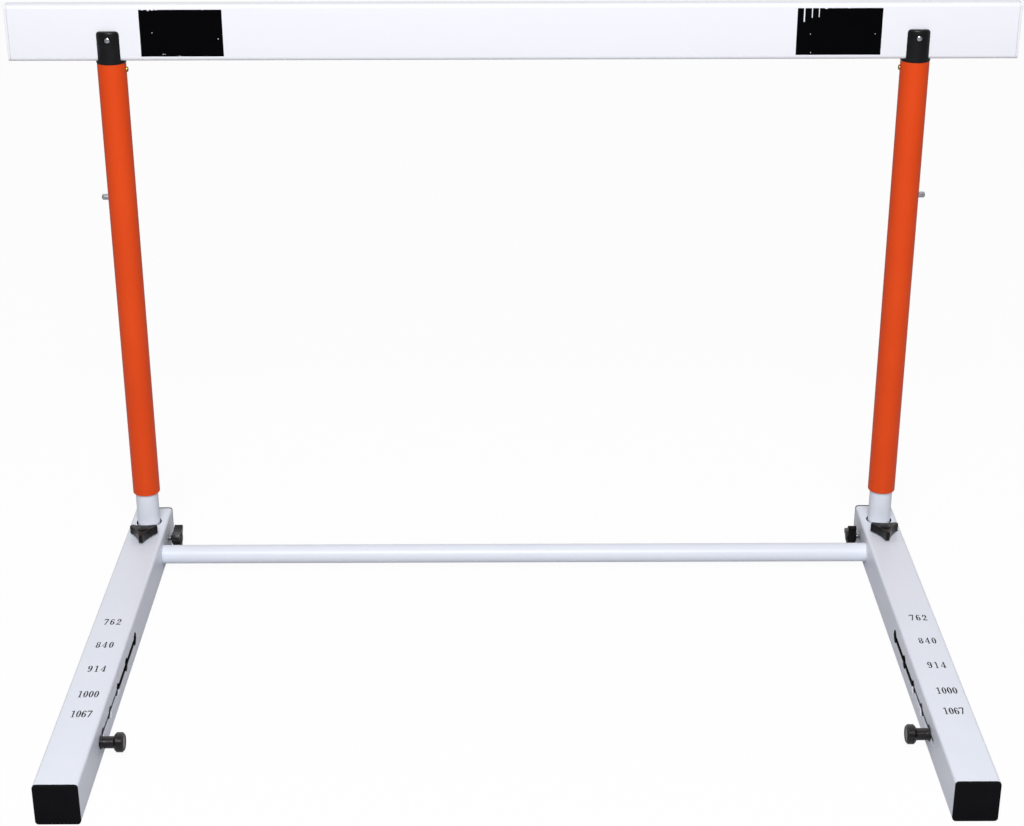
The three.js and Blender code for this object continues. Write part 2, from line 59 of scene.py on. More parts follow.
def placeCamera(view):
    camera = bpy.data.objects.new("hurdleCamera", bpy.data.cameras.new("hurdleCamera"))
    bpy.context.scene.collection.objects.link(camera)
    camera.data.lens = view["lens"]
    camera.data.sensor_width = view["sensor"]
    camera.data.clip_start, camera.data.clip_end = view["clip"]
    turn = Matrix.Rotation(-view["yaw"], 4, "Z") @ Matrix.Rotation(math.pi / 2 - view["pitch"], 4, "X")
    spot = Matrix.Translation(Vector(view["place"]) * mm)
    camera.matrix_world = spot @ turn @ Matrix.Rotation(view["roll"], 4, "Z")
    bpy.context.scene.camera = camera


placeCamera(cameraView)
print("camera in place")


# Selecting and shaping
def letGo():
    if bpy.context.object and bpy.context.object.mode != "OBJECT":
        bpy.ops.object.mode_set(mode="OBJECT")
    bpy.ops.object.select_all(action="DESELECT")


def takeHold(piece):
    letGo()
    piece.select_set(True)
    bpy.context.view_layer.objects.active = piece


def applyPlace(piece):
    takeHold(piece)
    bpy.ops.object.transform_apply(location=True, rotation=True, scale=True)
    return piece


# Goes into edit mode with only the faces, edges or corners selected that pass the test
def pick(piece, kind, test):
    takeHold(piece)
    bpy.ops.object.mode_set(mode="EDIT")
    bpy.ops.mesh.select_mode(type=kind)
    bpy.ops.mesh.select_all(action="DESELECT")
    bpy.ops.object.mode_set(mode="OBJECT")
    mesh = piece.data
    if kind == "FACE":
        for face in mesh.polygons:
            face.select = test(face.center, face.normal)
    elif kind == "EDGE":
        for edge in mesh.edges:
            start, end = (mesh.vertices[index].co for index in edge.vertices)
            edge.select = test((start + end) / 2, (end - start).normalized())
    else:
        for corner in mesh.vertices:
            corner.select = test(corner.co, corner.normal)
    bpy.ops.object.mode_set(mode="EDIT")


def pickAll(piece):
    pick(piece, "VERT", lambda place, normal: True)


def bevelPicked(width, segments):
    bpy.ops.mesh.bevel(offset=width * mm, segments=segments, affect="EDGES", profile=0.5)
    bpy.ops.object.mode_set(mode="OBJECT")


def modify(piece, kind, **settings):
    takeHold(piece)
    modifier = piece.modifiers.new(kind.title(), kind)
    for key, value in settings.items():
        setattr(modifier, key, value)
    bpy.ops.object.modifier_apply(modifier=modifier.name)
    return piece


# Bevels the edges that are sharper than the angle in degrees
def softenEdges(piece, width, segments, angle):
    limit = {"limit_method": "ANGLE", "angle_limit": math.radians(angle)}
    return modify(piece, "BEVEL", width=width * mm, segments=segments, **limit)


def combine(piece, other, operation="DIFFERENCE"):
    modify(piece, "BOOLEAN", object=other, operation=operation, solver="EXACT")
    bpy.data.objects.remove(other)
    return piece


def block(low, high):
    letGo()
    low, high = Vector(low) * mm, Vector(high) * mm
    bpy.ops.mesh.primitive_cube_add(size=1, location=(low + high) / 2, scale=high - low)
    return applyPlace(bpy.context.object)


# How a shape that stands on Z is turned to lie along each axis
axisTurns = {"X": (0, math.pi / 2, 0), "Y": (-math.pi / 2, 0, 0), "Z": (0, 0, 0)}


def rod(radius, start, length, axis, sides, filled="NGON"):
    letGo()
    way = {"X": Vector((1, 0, 0)), "Y": Vector((0, 1, 0)), "Z": Vector((0, 0, 1))}[axis]
    middle = (Vector(start) + way * length / 2) * mm
    size = {"radius": radius * mm, "depth": length * mm, "vertices": sides, "end_fill_type": filled}
    bpy.ops.mesh.primitive_cylinder_add(location=middle, rotation=axisTurns[axis], **size)
    return applyPlace(bpy.context.object)


# A block with its long edges rounded; axis names the way that they run
def roundedBar(low, high, axis, radius, segments=6):
    piece = block(low, high)
    index = "XYZ".index(axis)
    pick(piece, "EDGE", lambda middle, way: abs(way[index]) > along)
    bevelPicked(radius, segments)
    return piece


# A turned shape: a circle, extruded and resized ring by ring through (radius, height)
def turned(rings, sides):
    letGo()
    radius, height = rings[0]
    place = (0, 0, height * mm)
    bpy.ops.mesh.primitive_circle_add(vertices=sides, radius=radius * mm, location=place, fill_type="NGON")
    piece = applyPlace(bpy.context.object)
    bpy.ops.object.mode_set(mode="EDIT")
    bpy.ops.mesh.select_mode(type="FACE")
    bpy.ops.mesh.select_all(action="SELECT")
    for nextRadius, nextHeight in rings[1:]:
        rise = (0, 0, (nextHeight - height) * mm)
        bpy.ops.mesh.extrude_region_move(TRANSFORM_OT_translate={"value": rise})
        share = nextRadius / radius
        bpy.ops.transform.resize(value=(share, share, 1), center_override=(0, 0, nextHeight * mm))
        radius, height = nextRadius, nextHeight
    bpy.ops.mesh.select_all(action="SELECT")
    bpy.ops.mesh.normals_make_consistent(inside=False)
    bpy.ops.object.mode_set(mode="OBJECT")
    return piece


def move(piece, place=(0, 0, 0), turn=(0, 0, 0)):
    takeHold(piece)
    piece.rotation_euler = turn
    piece.location = Vector(place) * mm
    return applyPlace(piece)


def copied(piece):
    twin = piece.copy()
    twin.data = piece.data.copy()
    bpy.context.scene.collection.objects.link(twin)
    return twin


def scaled(piece, shares, centre=(0, 0, 0)):
    pickAll(piece)
    bpy.ops.transform.resize(value=shares, center_override=[part * mm for part in centre])
    bpy.ops.object.mode_set(mode="OBJECT")
    return piece


# A mirrored copy; its faces are flipped back to point outwards
def mirrored(piece, shares=(-1, 1, 1)):
    twin = scaled(copied(piece), shares)
    pickAll(twin)
    bpy.ops.mesh.flip_normals()
    bpy.ops.object.mode_set(mode="OBJECT")
    return twin


def joined(*pieces):
    takeHold(pieces[0])
    for other in pieces[1:]:
        other.select_set(True)
    bpy.ops.object.join()
    return pieces[0]


def finishPiece(piece, name, body, material, nodes=(), smoothAngle=32):
    applyPlace(piece)
    piece.name = piece.data.name = name
    bpy.ops.object.shade_smooth_by_angle(angle=math.radians(smoothAngle))
    piece.data.materials.clear()
    piece.data.materials.append(material)
    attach(piece, body)
    if nodes:
        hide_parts(*nodes)


# Makes the right piece from the left one; a name that ends in _ gets its side
def finishPair(piece, name, body, material, node, rightShift=(0, 0, 0), smoothAngle=32):
    twin = mirrored(piece)
    if any(rightShift):
        move(twin, rightShift)
    for side, half in (("left", piece), ("right", twin)):
        ownBody = body + side if body.endswith("_") else body
        finishPiece(half, name + side, ownBody, material, [node + side], smoothAngle)


insideShare = 0.7  # a face this far through a wall counts as the tube's inside


# Gives the faces that pass the test another finish
def lineInside(name, material, test):
    for side in ("left", "right"):
        piece = bpy.data.objects[name + side]
        piece.data.materials.append(material)
        for face in piece.data.polygons:
            if test(face.center / mm, side):
                face.material_index = 1


def boxMm(node):
    low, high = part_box(node)
    return low / mm, high / mm


def middleMm(node):
    low, high = boxMm(node)
    return (low + high) / 2


# Materials: colours are sRGB hex values, turned to linear here
def hexColor(code):
    parts = [int(code[start:start + 2], 16) / 255 for start in (1, 3, 5)]
    return (*[part / 12.92 if part <= 0.04045 else ((part + 0.055) / 1.055) ** 2.4 for part in parts], 1)


def addNode(material, kind, inputs=None, **settings):
    node = material.node_tree.nodes.new("ShaderNode" + kind)
    for key, value in settings.items():
        setattr(node, key, value)
    for socket, value in (inputs or {}).items():
        if isinstance(value, bpy.types.NodeSocket):
            material.node_tree.links.new(value, node.inputs[socket])
        else:
            node.inputs[socket].default_value = value
    return node


def newMaterial(name, **sockets):
    material = bpy.data.materials.new(name)
    material.use_nodes = True
    shader = material.node_tree.nodes["Principled BSDF"]
    for socket, value in sockets.items():
        shader.inputs[socket.replace("_", " ")].default_value = value
    return material, shader, material.node_tree.links


def objectPlace(material, stretch=(1, 1, 1)):
    place = addNode(material, "TexCoord").outputs["Object"]
    return addNode(material, "Mapping", {"Vector": place, "Scale": stretch}).outputs[0]


# Coats, plastics and metals share this make-up: a cloudy change of colour and gloss, and a fine bump
def surfaceFinish(name, look):
    material, shader, links = newMaterial(name, Metallic=look["metallic"], Specular_IOR_Level=look["specular"])
    place = objectPlace(material)
    cloud = {"Vector": place, "Scale": 1 / (look["cloud"] * mm), "Detail": look["cloudDetail"]}
    cloud = addNode(material, "TexNoise", cloud).outputs["Fac"]
    shades = {0: cloud, 6: hexColor(look["color"]), 7: hexColor(look["patch"])}
    links.new(addNode(material, "Mix", shades, data_type="RGBA").outputs[2], shader.inputs["Base Color"])
    gloss = {"Value": cloud, "From Min": 0.3, "From Max": 0.7}
    gloss.update({"To Min": look["roughness"] - look["uneven"], "To Max": look["roughness"] + look["uneven"]})
    links.new(addNode(material, "MapRange", gloss).outputs[0], shader.inputs["Roughness"])
    grain = {"Vector": place, "Scale": 1 / (look["grain"] * mm), "Detail": look["grainDetail"]}
    grain = addNode(material, "TexNoise", grain).outputs["Fac"]
    bump = {"Strength": look["bump"], "Distance": look["bumpDepth"] * mm, "Height": grain}
    links.new(addNode(material, "Bump", bump).outputs[0], shader.inputs["Normal"])
    return material


# Polyester powder coat baked on steel: a closed, slightly dappled skin that spreads its highlights softly.
# The peel of a real coat is 1 to 2 mm across; it is drawn at 2.5 mm so that it shows
coatLook = {"cloudDetail": 3, "grain": 2.5, "grainDetail": 2, "bump": 0.1, "bumpDepth": 0.1, "uneven": 0.015,
            "metallic": 0}
whiteCoatLook = {**coatLook, "color": "#e1e6f2", "patch": "#e9edf7", "cloud": 60, "roughness": 0.36,
                 "specular": 0.4}
orangeCoatLook = {**coatLook, "color": "#dc440e", "patch": "#e84e13", "cloud": 90, "roughness": 0.3,
                  "specular": 0.22}
whitePowderCoat = surfaceFinish("whitePowderCoatOnSteel", whiteCoatLook)
orangePowderCoat = surfaceFinish("orangePowderCoatOnSteel", orangeCoatLook)

# Extruded uPVC: smooth satin white, with faint die lines that draw its highlights out along the board.
# Real die lines are a few tenths of a millimetre apart; they are drawn at 1.5 mm so that they show
boardLook = {"color": "#f0f1f7", "shade": "#ecedf4", "linePitch": 1.5, "lineLength": 900, "lineStrength": 0.12,
             "lineDepth": 0.05, "roughness": 0.4, "specular": 0.25}


def extrudedBoard(look):
    material, shader, links = newMaterial("extrudedUpvcBoard", Specular_IOR_Level=look["specular"])
    across = 1 / (look["linePitch"] * mm)
    stretch = (1 / (look["lineLength"] * mm), across, across)
    lines = addNode(material, "TexNoise", {"Vector": objectPlace(material, stretch), "Scale": 1, "Detail": 2})
    shades = {0: lines.outputs["Fac"], 6: hexColor(look["shade"]), 7: hexColor(look["color"])}
    links.new(addNode(material, "Mix", shades, data_type="RGBA").outputs[2], shader.inputs["Base Color"])
    shader.inputs["Roughness"].default_value = look["roughness"]
    bump = {"Strength": look["lineStrength"], "Distance": look["lineDepth"] * mm}
    bump["Height"] = lines.outputs["Fac"]
    links.new(addNode(material, "Bump", bump).outputs[0], shader.inputs["Normal"])
    return material


extrudedUpvc = extrudedBoard(boardLook)


# Injection-moulded plastic: a fine spark-eroded grain that breaks up its highlights, under a little dust.
# Mould grain is about 0.1 mm; it is drawn at 0.8 mm so that it shows
mouldLook = {"cloudDetail": 4, "grain": 0.8, "grainDetail": 3, "bump": 0.3, "bumpDepth": 0.08, "uneven": 0.06,
             "metallic": 0}
# Polyethylene plugs: waxy and dull
capLook = {**mouldLook, "color": "#0b0b0d", "patch": "#141417", "cloud": 18, "roughness": 0.6, "specular": 0.05}
# Polypropylene holders: satin, with a soft light edge on their corners
holderLook = {**mouldLook, "color": "#09090b", "patch": "#111114", "cloud": 12, "roughness": 0.32,
              "specular": 0.3}
# Nylon clamp knobs: a little glossier and warmer
knobLook = {**mouldLook, "color": "#080707", "patch": "#110e0e", "cloud": 10, "roughness": 0.28,
            "specular": 0.24}
# Phenolic weight knobs: hard and polished, with small clear highlights
phenolicLook = {**mouldLook, "color": "#0c0909", "patch": "#1a1414", "cloud": 10, "roughness": 0.2,
                "specular": 0.5}
# Undyed nylon guide bushes: milky and smooth
bushLook = {**mouldLook, "color": "#d9dade", "patch": "#cfd0d4", "cloud": 12, "roughness": 0.5, "specular": 0.4}
capPlastic = surfaceFinish("mouldedBlackPolyethylene", capLook)
holderPlastic = surfaceFinish("mouldedBlackPolypropylene", holderLook)
knobPlastic = surfaceFinish("mouldedBlackNylon", knobLook)
phenolic = surfaceFinish("polishedPhenolicResin", phenolicLook)
bushPlastic = surfaceFinish("mouldedNaturalNylon", bushLook)


# Steel and iron: a cloudy film over the metal dims its mirror and roughens it a little
metalLook = {"cloudDetail": 4, "grainDetail": 4, "bumpDepth": 0.05, "uneven": 0.07, "specular": 0.5}
# Bright zinc plate: bluish white metal with a thin haze
zincLook = {**metalLook, "color": "#a7aab1", "patch": "#cfd2d8", "cloud": 2, "grain": 2, "roughness": 0.3,
            "metallic": 1, "bump": 0.15}
# Yellow passivated zinc: brassy, clouded from brown to gold
yellowLook = {**metalLook, "color": "#8a6430", "patch": "#d4a457", "cloud": 1.5, "grain": 1.5, "roughness": 0.3,
              "metallic": 1, "bump": 0.15}
# Cast iron under grey primer: dull, with the coarse skin of its sand mould
ironLook = {**metalLook, "color": "#74757e", "patch": "#92939d", "cloud": 3, "grain": 3, "roughness": 0.6,
            "metallic": 0.2, "bump": 0.6}
# Uncoated steel with mill scale inside the tubes, nearly black. The same black also serves as painted shade in
# open ends and on cut edges, so that they look deep
bareSteelAndShadeLook = {**metalLook, "color": "#141316", "patch": "#232227", "cloud": 6, "grain": 6, "roughness": 0.75,
            "metallic": 0.3, "bump": 0.4}
# Tempered spring steel: smooth blue-grey metal with a clear shine
springLook = {**metalLook, "color": "#6f747c", "patch": "#9aa0a8", "cloud": 2, "grain": 2, "roughness": 0.28,
              "metallic": 1, "bump": 0.1}
zincPlate = surfaceFinish("brightZincPlatedSteel", zincLook)
yellowZinc = surfaceFinish("yellowPassivatedSteel", yellowLook)
castIron = surfaceFinish("greyPrimedCastIron", ironLook)
bareSteelAndPaintedShade = surfaceFinish("millScaleAndPaintedShade", bareSteelAndShadeLook)
springSteel = surfaceFinish("temperedSpringSteel", springLook)

# Screen-printed ink and painted film: thin, flat and matt, a shade paler where the layer is thinner
inkLook = {"color": "#15161a", "pale": "#2c2e36", "speck": 3, "roughness": 0.6, "specular": 0.15}
filmLook = {"color": "#030304", "pale": "#060608", "speck": 14, "roughness": 0.6, "specular": 0.02}


def printedFilm(name, look):
    material, shader, links = newMaterial(name, Specular_IOR_Level=look["specular"])
    shader.inputs["Roughness"].default_value = look["roughness"]
    place = objectPlace(material)
    specks = addNode(material, "TexNoise", {"Vector": place, "Scale": 1 / (look["speck"] * mm), "Detail": 5})
    shades = {0: specks.outputs["Fac"], 6: hexColor(look["color"]), 7: hexColor(look["pale"])}
    links.new(addNode(material, "Mix", shades, data_type="RGBA").outputs[2], shader.inputs["Base Color"])
    return material


blackFilm = printedFilm("blackPaintedFilm", filmLook)
legInk = printedFilm("screenPrintedInk", inkLook)
print("materials ready")


# Places that every piece is set against
postX, postY, _ = middleMm("post_left")


# Open tube with a real wall; cuts keep its shading straight beside the holes
def openTube(radius, wall, start, length, axis, rounding, cuts=()):
    piece = rod(radius, start, length, axis, sides=96, filled="NOTHING")
    normal = [float(name == axis) for name in "XYZ"]
    for cut in cuts:
        pickAll(piece)
        spot = [cut * mm * part for part in normal]
        bpy.ops.mesh.bisect(plane_co=spot, plane_no=normal)
        bpy.ops.object.mode_set(mode="OBJECT")
    modify(piece, "SOLIDIFY", thickness=wall * mm, offset=-1, use_even_offset=True)
    return softenEdges(piece, rounding, 3, 60)


# Sleeves, with a row of lock holes on the outer side
sleeveTube = {"wall": 2, "rounding": 0.6, "holeRadius": 4.3, "holeHeights": (514, 436, 362, 276, 209),
              "room": 9}


def makeSleeves(sizes):
    low, high = boxMm("sleeve_left")
    radius = (high.x - low.x) / 2
    cuts = [height + step * sizes["room"] for height in sizes["holeHeights"] for step in (-1, 1)]
    start = (postX, postY, low.z)
    piece = openTube(radius, sizes["wall"], start, high.z - low.z, "Z", sizes["rounding"], cuts=cuts)
    for height in sizes["holeHeights"]:
        outside = (postX - radius - over, postY, height)
        combine(piece, rod(sizes["holeRadius"], outside, over + 2 * sizes["wall"], "X", sides=40))
    finishPair(piece, "orangeSleeve_", "crossbar_assembly", orangePowderCoat, "sleeve_",
               smoothAngle=12)
    inside = radius - insideShare * sizes["wall"]

    def isInside(spot, side):
        return math.hypot(abs(spot.x) + postX, spot.y - postY) < inside

    # bare steel inside the sleeve, near black, which also paints shade into its open ends
    lineInside("orangeSleeve_", bareSteelAndPaintedShade, isInside)


makeSleeves(sleeveTube)

# Posts and the cross tube
postTube = {"wall": 2, "rounding": 0.5, "holeRadius": 4.3, "buttonHeight": 514, "room": 9}


def makePosts(sizes):
    low, high = boxMm("post_left")
    radius = (high.x - low.x) / 2
    height, room = sizes["buttonHeight"], sizes["room"]
    piece = openTube(radius, sizes["wall"], (postX, postY, low.z), high.z - low.z, "Z", sizes["rounding"],
                     cuts=(height - room, height + room))
    outside = (postX - radius - over, postY, height)
    combine(piece, rod(sizes["holeRadius"], outside, over + 2 * sizes["wall"], "X", sides=40))
    finishPair(piece, "whitePost_", "base", whitePowderCoat, "post_", smoothAngle=12)


makePosts(postTube)

crossTube = {"wall": 1.5, "rounding": 0.4}


def makeCrossTube(sizes):
    low, high = boxMm("cross_tube")
    middle = (low + high) / 2
    start = (low.x, middle.y, middle.z)
    piece = openTube((high.z - low.z) / 2, sizes["wall"], start, high.x - low.x, "X", sizes["rounding"])
    finishPiece(piece, "whiteCrossTube", "base", whitePowderCoat, ["cross_tube"], 12)


makeCrossTube(crossTube)
print("tubes ready")

# Legs: square tube with the holes for post, clamps and cross tube, and the notched slot
legTube = {
    "wall": 2, "corner": 4, "postHole": 17, "studHole": 4.5, "crossHole": 12.8,
    "notchFront": 496, "notchTravel": 219, "notchShares": (0, 0.215, 0.45, 0.715, 1), "notchRadius": 8.5,
    "slitHeight": 8, "slitAhead": 25, "slitBehind": 9, "slitCorner": 2, "cutReach": 12, "softEdge": 0.35,
}


def makeLegs(sizes):
    low, high = boxMm("leg_tube_left")
    piece = roundedBar(low, high, "Y", sizes["corner"])
    pick(piece, "FACE", lambda place, normal: abs(normal.y) > along)
    bpy.ops.mesh.delete(type="FACE")
    bpy.ops.object.mode_set(mode="OBJECT")
    modify(piece, "SOLIDIFY", thickness=sizes["wall"] * mm, offset=-1, use_even_offset=True)
    depth = 3 * sizes["wall"]
    top, inner = high.z - depth / 2, high.x - depth / 2
    tubeY = middleMm("cross_tube").y
    middleZ = (low.z + high.z) / 2
    combine(piece, rod(sizes["postHole"], (postX, postY, top), depth, "Z", sides=72))
    combine(piece, rod(sizes["studHole"], (postX, tubeY, top), depth, "Z", sides=40))
    combine(piece, rod(sizes["crossHole"], (inner, tubeY, middleZ), depth, "X", sides=64))
    stud = middleMm("post_clamp_stud_left")
    combine(piece, rod(sizes["studHole"], (inner, stud.y, stud.z), depth, "X", sides=40))
    front = postY - sizes["notchFront"]
    for share in sizes["notchShares"]:
        place = (inner, front + share * sizes["notchTravel"], middleZ)
        combine(piece, rod(sizes["notchRadius"], place, depth, "X", sides=48))
    rear, rise = front + sizes["notchTravel"] + sizes["slitBehind"], sizes["slitHeight"] / 2
    slitLow = (inner, front - sizes["slitAhead"], middleZ - rise)
    slitHigh = (inner + depth, rear, middleZ + rise)
    combine(piece, roundedBar(slitLow, slitHigh, "X", sizes["slitCorner"], segments=4))
    softenEdges(piece, sizes["softEdge"], 2, 60)
    finishPair(piece, "whiteLeg_", "base", whitePowderCoat, "leg_tube_", smoothAngle=18)
    half = (high.z - low.z) / 2
    weightEnds = {side: boxMm("counterweight_" + side)[1].y for side in ("left", "right")}

    # bare steel inside; the cut edges of the post hole, and of the slot's empty end where no counterweight
    # stands behind it, get the same black as painted shade
    def isBareOrPaintedShade(spot, side):
        across, rise = abs(spot.x) + postX, spot.z - middleZ
        if max(abs(across), abs(rise)) < half - insideShare * sizes["wall"]:
            return True
        if half - sizes["wall"] < rise < half - near:
            return math.hypot(across, spot.y - postY) < sizes["postHole"] + over
        inWall = -half + near < across < -half + sizes["wall"]
        return inWall and abs(rise) < sizes["cutReach"] and spot.y > weightEnds[side]

    lineInside("whiteLeg_", bareSteelAndPaintedShade, isBareOrPaintedShade)


makeLegs(legTube)

# Plugs in the leg ends: a flange, and a hollow ribbed spigot that grips the tube
legCap = {"corner": 4, "flange": 3, "rim": 0.8, "inset": 2.3, "depth": 18, "wall": 2.4, "floor": 1,
          "boreCorner": 1.2, "barbs": 3, "barbPitch": 5.5, "barbWidth": 1.6, "barbHeight": 0.5}


def makeLegCaps(sizes):
    low, high = boxMm("leg_front_cap_left")
    piece = roundedBar(low, (high.x, low.y + sizes["flange"], high.z), "Y", sizes["corner"])
    front = (low.y + near) * mm
    pick(piece, "EDGE", lambda middle, way: middle.y < front)
    bevelPicked(sizes["rim"], 3)
    pick(piece, "FACE", lambda place, normal: normal.y > along)
    bpy.ops.mesh.inset(thickness=sizes["inset"] * mm)
    middle = (postX * mm, 0, (low.z + high.z) / 2 * mm)
    grown = 1 + 2 * sizes["barbHeight"] / (high.x - low.x - 2 * sizes["inset"])
    reached = 0

    def push(distance, share=1.0):
        bpy.ops.mesh.extrude_region_move(TRANSFORM_OT_translate={"value": (0, distance * mm, 0)})
        if share != 1:
            bpy.ops.transform.resize(value=(share, 1, share), center_override=middle)

    # each barb rises steeply on the flange's side and slopes down towards the spigot's end
    for _ in range(sizes["barbs"]):
        push(sizes["barbPitch"] - 2 * sizes["barbWidth"])
        push(sizes["barbWidth"] / 2, grown)
        push(1.5 * sizes["barbWidth"], 1 / grown)
        reached += sizes["barbPitch"]
    push(sizes["depth"] - reached)
    bpy.ops.object.mode_set(mode="OBJECT")
    side, back = sizes["inset"] + sizes["wall"], low.y + sizes["flange"]
    boreLow = (low.x + side, back + sizes["floor"], low.z + side)
    boreHigh = (high.x - side, back + sizes["depth"] + over, high.z - side)
    combine(piece, roundedBar(boreLow, boreHigh, "Y", sizes["boreCorner"], segments=3))
    rear = mirrored(piece, (1, -1, 1))
    move(rear, (0, boxMm("leg_rear_cap_left")[1].y + low.y, 0))
    finishPair(piece, "blackFrontCap_", "base", capPlastic, "leg_front_cap_")
    finishPair(rear, "blackRearCap_", "base", capPlastic, "leg_rear_cap_")


makeLegCaps(legCap)
print("legs ready")

# Crossbar: hollow board with two chambers, closed by end caps
crossbarBoard = {"edge": 5, "wall": 2.5, "web": 2, "chamberCorner": 2, "capFlange": 3, "capRim": 0.8,
                 "capInset": 2.9, "capDepth": 16, "slitRoom": 0.4, "groove": 0.35, "holeRadius": 2.7}


def makeCrossbar(sizes):
    low, high = boxMm("crossbar")
    piece = roundedBar(low, high, "X", sizes["edge"], segments=8)
    middleZ = (low.z + high.z) / 2
    wall, web = sizes["wall"], sizes["web"] / 2
    for bottom, top in ((low.z + wall, middleZ - web), (middleZ + web, high.z - wall)):
        start = (low.x - 5 * over, low.y + wall, bottom)
        end = (high.x + 5 * over, high.y - wall, top)
        combine(piece, roundedBar(start, end, "X", sizes["chamberCorner"], segments=3))
    for side in ("left", "right"):
        screw = middleMm("tongue_screw_" + side)
        start = (screw.x, low.y - over, screw.z)
        combine(piece, rod(sizes["holeRadius"], start, wall + 2 * over, "Y", sides=32))
    softenEdges(piece, sizes["groove"], 2, 60)
    finishPiece(piece, "whiteCrossbar", "crossbar_assembly", extrudedUpvc, ["crossbar"], 15)
    capLow, capHigh = boxMm("crossbar_end_cap_left")
    flangeEnd = (capLow.x + sizes["capFlange"], capHigh.y, capHigh.z)
    cap = roundedBar(capLow, flangeEnd, "X", sizes["edge"], segments=8)
    outer = (capLow.x + near) * mm
    pick(cap, "EDGE", lambda middle, way: middle.x < outer)
    bevelPicked(sizes["capRim"], 3)
    pick(cap, "FACE", lambda place, normal: normal.x > along)
    bpy.ops.mesh.inset(thickness=sizes["capInset"] * mm)
    bpy.ops.mesh.extrude_region_move(TRANSFORM_OT_translate={"value": (sizes["capDepth"] * mm, 0, 0)})
    bpy.ops.object.mode_set(mode="OBJECT")
    # the spigot's slit leaves room for the board's web
    slit = web + sizes["slitRoom"]
    start = (capLow.x + sizes["capFlange"], capLow.y, middleZ - slit)
    combine(cap, block(start, (capHigh.x + 2 * over, capHigh.y, middleZ + slit)))
    softenEdges(cap, sizes["groove"], 2, 60)
    finishPair(cap, "whiteBarCap_", "crossbar_assembly", extrudedUpvc, "crossbar_end_cap_",
               smoothAngle=20)


makeCrossbar(crossbarBoard)
print("crossbar ready")

# Holders: a cup in the sleeve, a flange under the bar, and a rounded tongue in front of it
barHolder = {"flange": 3, "flangeRim": 0.6, "tongueHeight": 38, "tongueRoot": 20, "tongueBack": 12,
             "topEdge": 2.8, "topCorner": 4.5, "plugRadius": 16.7, "plugWall": 3, "recessRadius": 4.25,
             "recess": 2.5, "hole": 2.7, "holeDepth": 8, "softEdge": 0.4}


def makeHolders(sizes):
    low, high = boxMm("bar_holder_left")
    radius = (high.x - low.x) / 2
    flangeLow = high.z - sizes["tongueHeight"] - sizes["flange"]
    flangeTop = flangeLow + sizes["flange"]
    tongue = rod(radius, (postX, postY, flangeTop - over), sizes["tongueHeight"] + over, "Z", sides=96)
    crown = (high.z - near) * mm
    pick(tongue, "EDGE", lambda middle, way: middle.z > crown)
    bevelPicked(sizes["topEdge"], 5)
    halfWidth = math.sqrt(radius ** 2 - sizes["tongueBack"] ** 2)
    plateLow = (postX - halfWidth, postY - radius - over, flangeTop - sizes["tongueRoot"])
    plateHigh = (postX + halfWidth, postY - sizes["tongueBack"], high.z)
    combine(tongue, roundedBar(plateLow, plateHigh, "Y", sizes["topCorner"], segments=8), "INTERSECT")
    softenEdges(tongue, sizes["softEdge"], 2, 45)
    flange = rod(radius, (postX, postY, flangeLow), sizes["flange"], "Z", sides=96)
    softenEdges(flange, sizes["flangeRim"], 3, 60)
    plugLength, bore = flangeLow + over - low.z, sizes["plugRadius"] - sizes["plugWall"]
    plug = rod(sizes["plugRadius"], (postX, postY, low.z), plugLength, "Z", sides=96)
    combine(plug, rod(bore, (postX, postY, low.z - over), plugLength, "Z", sides=64))
    piece = combine(combine(flange, plug, "UNION"), tongue, "UNION")
    screw = middleMm("tongue_screw_left")
    front = (screw.x, postY - radius - over, screw.z)
    combine(piece, rod(sizes["recessRadius"], front, over + sizes["recess"], "Y", sides=48))
    combine(piece, rod(sizes["hole"], front, over + sizes["holeDepth"], "Y", sides=32))
    finishPair(piece, "blackHolder_", "crossbar_assembly", holderPlastic, "bar_holder_")


makeHolders(barHolder)


# Screws: the head's height, dome and cross are shares of its radius, and the shank's point of the shank's
panHead = {"height": 0.62, "dome": ((1, 0), (1, 0.28), (0.94, 0.42), (0.78, 0.53), (0.5, 0.6)), "centre": 0.01,
           "crossReach": 0.62, "crossDepth": 0.4, "crossTurn": 0.35, "tip": 0.35, "taper": 1.4}
tongueScrew = {"head": 3.4, "shank": 2.4, "cross": 1.1}
holderScrew = {"head": 3.4, "shank": 1.95, "cross": 1.0}


# Pan-head screw with a cross recess: the dome starts at z = 0 and the shank is below it
def panScrew(sizes, wholeLength):
    head, shank, top = sizes["head"], sizes["shank"], sizes["head"] * panHead["height"]
    length = wholeLength - top
    rings = [(shank * panHead["tip"], -length), (shank, -length + shank * panHead["taper"]), (shank, 0)]
    rings += [(head * wide, head * rise) for wide, rise in panHead["dome"]] + [(panHead["centre"], top)]
    piece = turned(rings, sides=40)
    wide, thin, floor = head * panHead["crossReach"], sizes["cross"] / 2, top - head * panHead["crossDepth"]
    for turn in (0, math.pi / 2):
        blade = block((-wide, -thin, floor), (wide, thin, top + over))
        combine(piece, move(blade, turn=(0, 0, turn + panHead["crossTurn"])))
    return piece


def makeScrews(tongue, holder):
    low, high = boxMm("tongue_screw_left")
    middle = (low + high) / 2
    headTop = tongue["head"] * panHead["height"]
    piece = panScrew(tongue, high.y - low.y)
    move(piece, (middle.x, low.y + headTop, middle.z), (math.pi / 2, 0, 0))
    finishPair(piece, "zincTongueScrew_", "crossbar_assembly", zincPlate, "tongue_screw_")
    low, high = boxMm("holder_screw_left")
    middle = (low + high) / 2
    headTop = holder["head"] * panHead["height"]
    piece = panScrew(holder, high.x - low.x)
    move(piece, (high.x - headTop, middle.y, middle.z), axisTurns["X"])
    finishPair(piece, "yellowHolderScrew_", "crossbar_assembly", yellowZinc, "holder_screw_")


makeScrews(tongueScrew, holderScrew)

# Snap buttons: a flange inside the post and a pin with a rounded end
snapButton = {"radius": 3.9, "flangeRadius": 5, "flange": 1.2, "rounding": 2, "roundingSteps": 6}


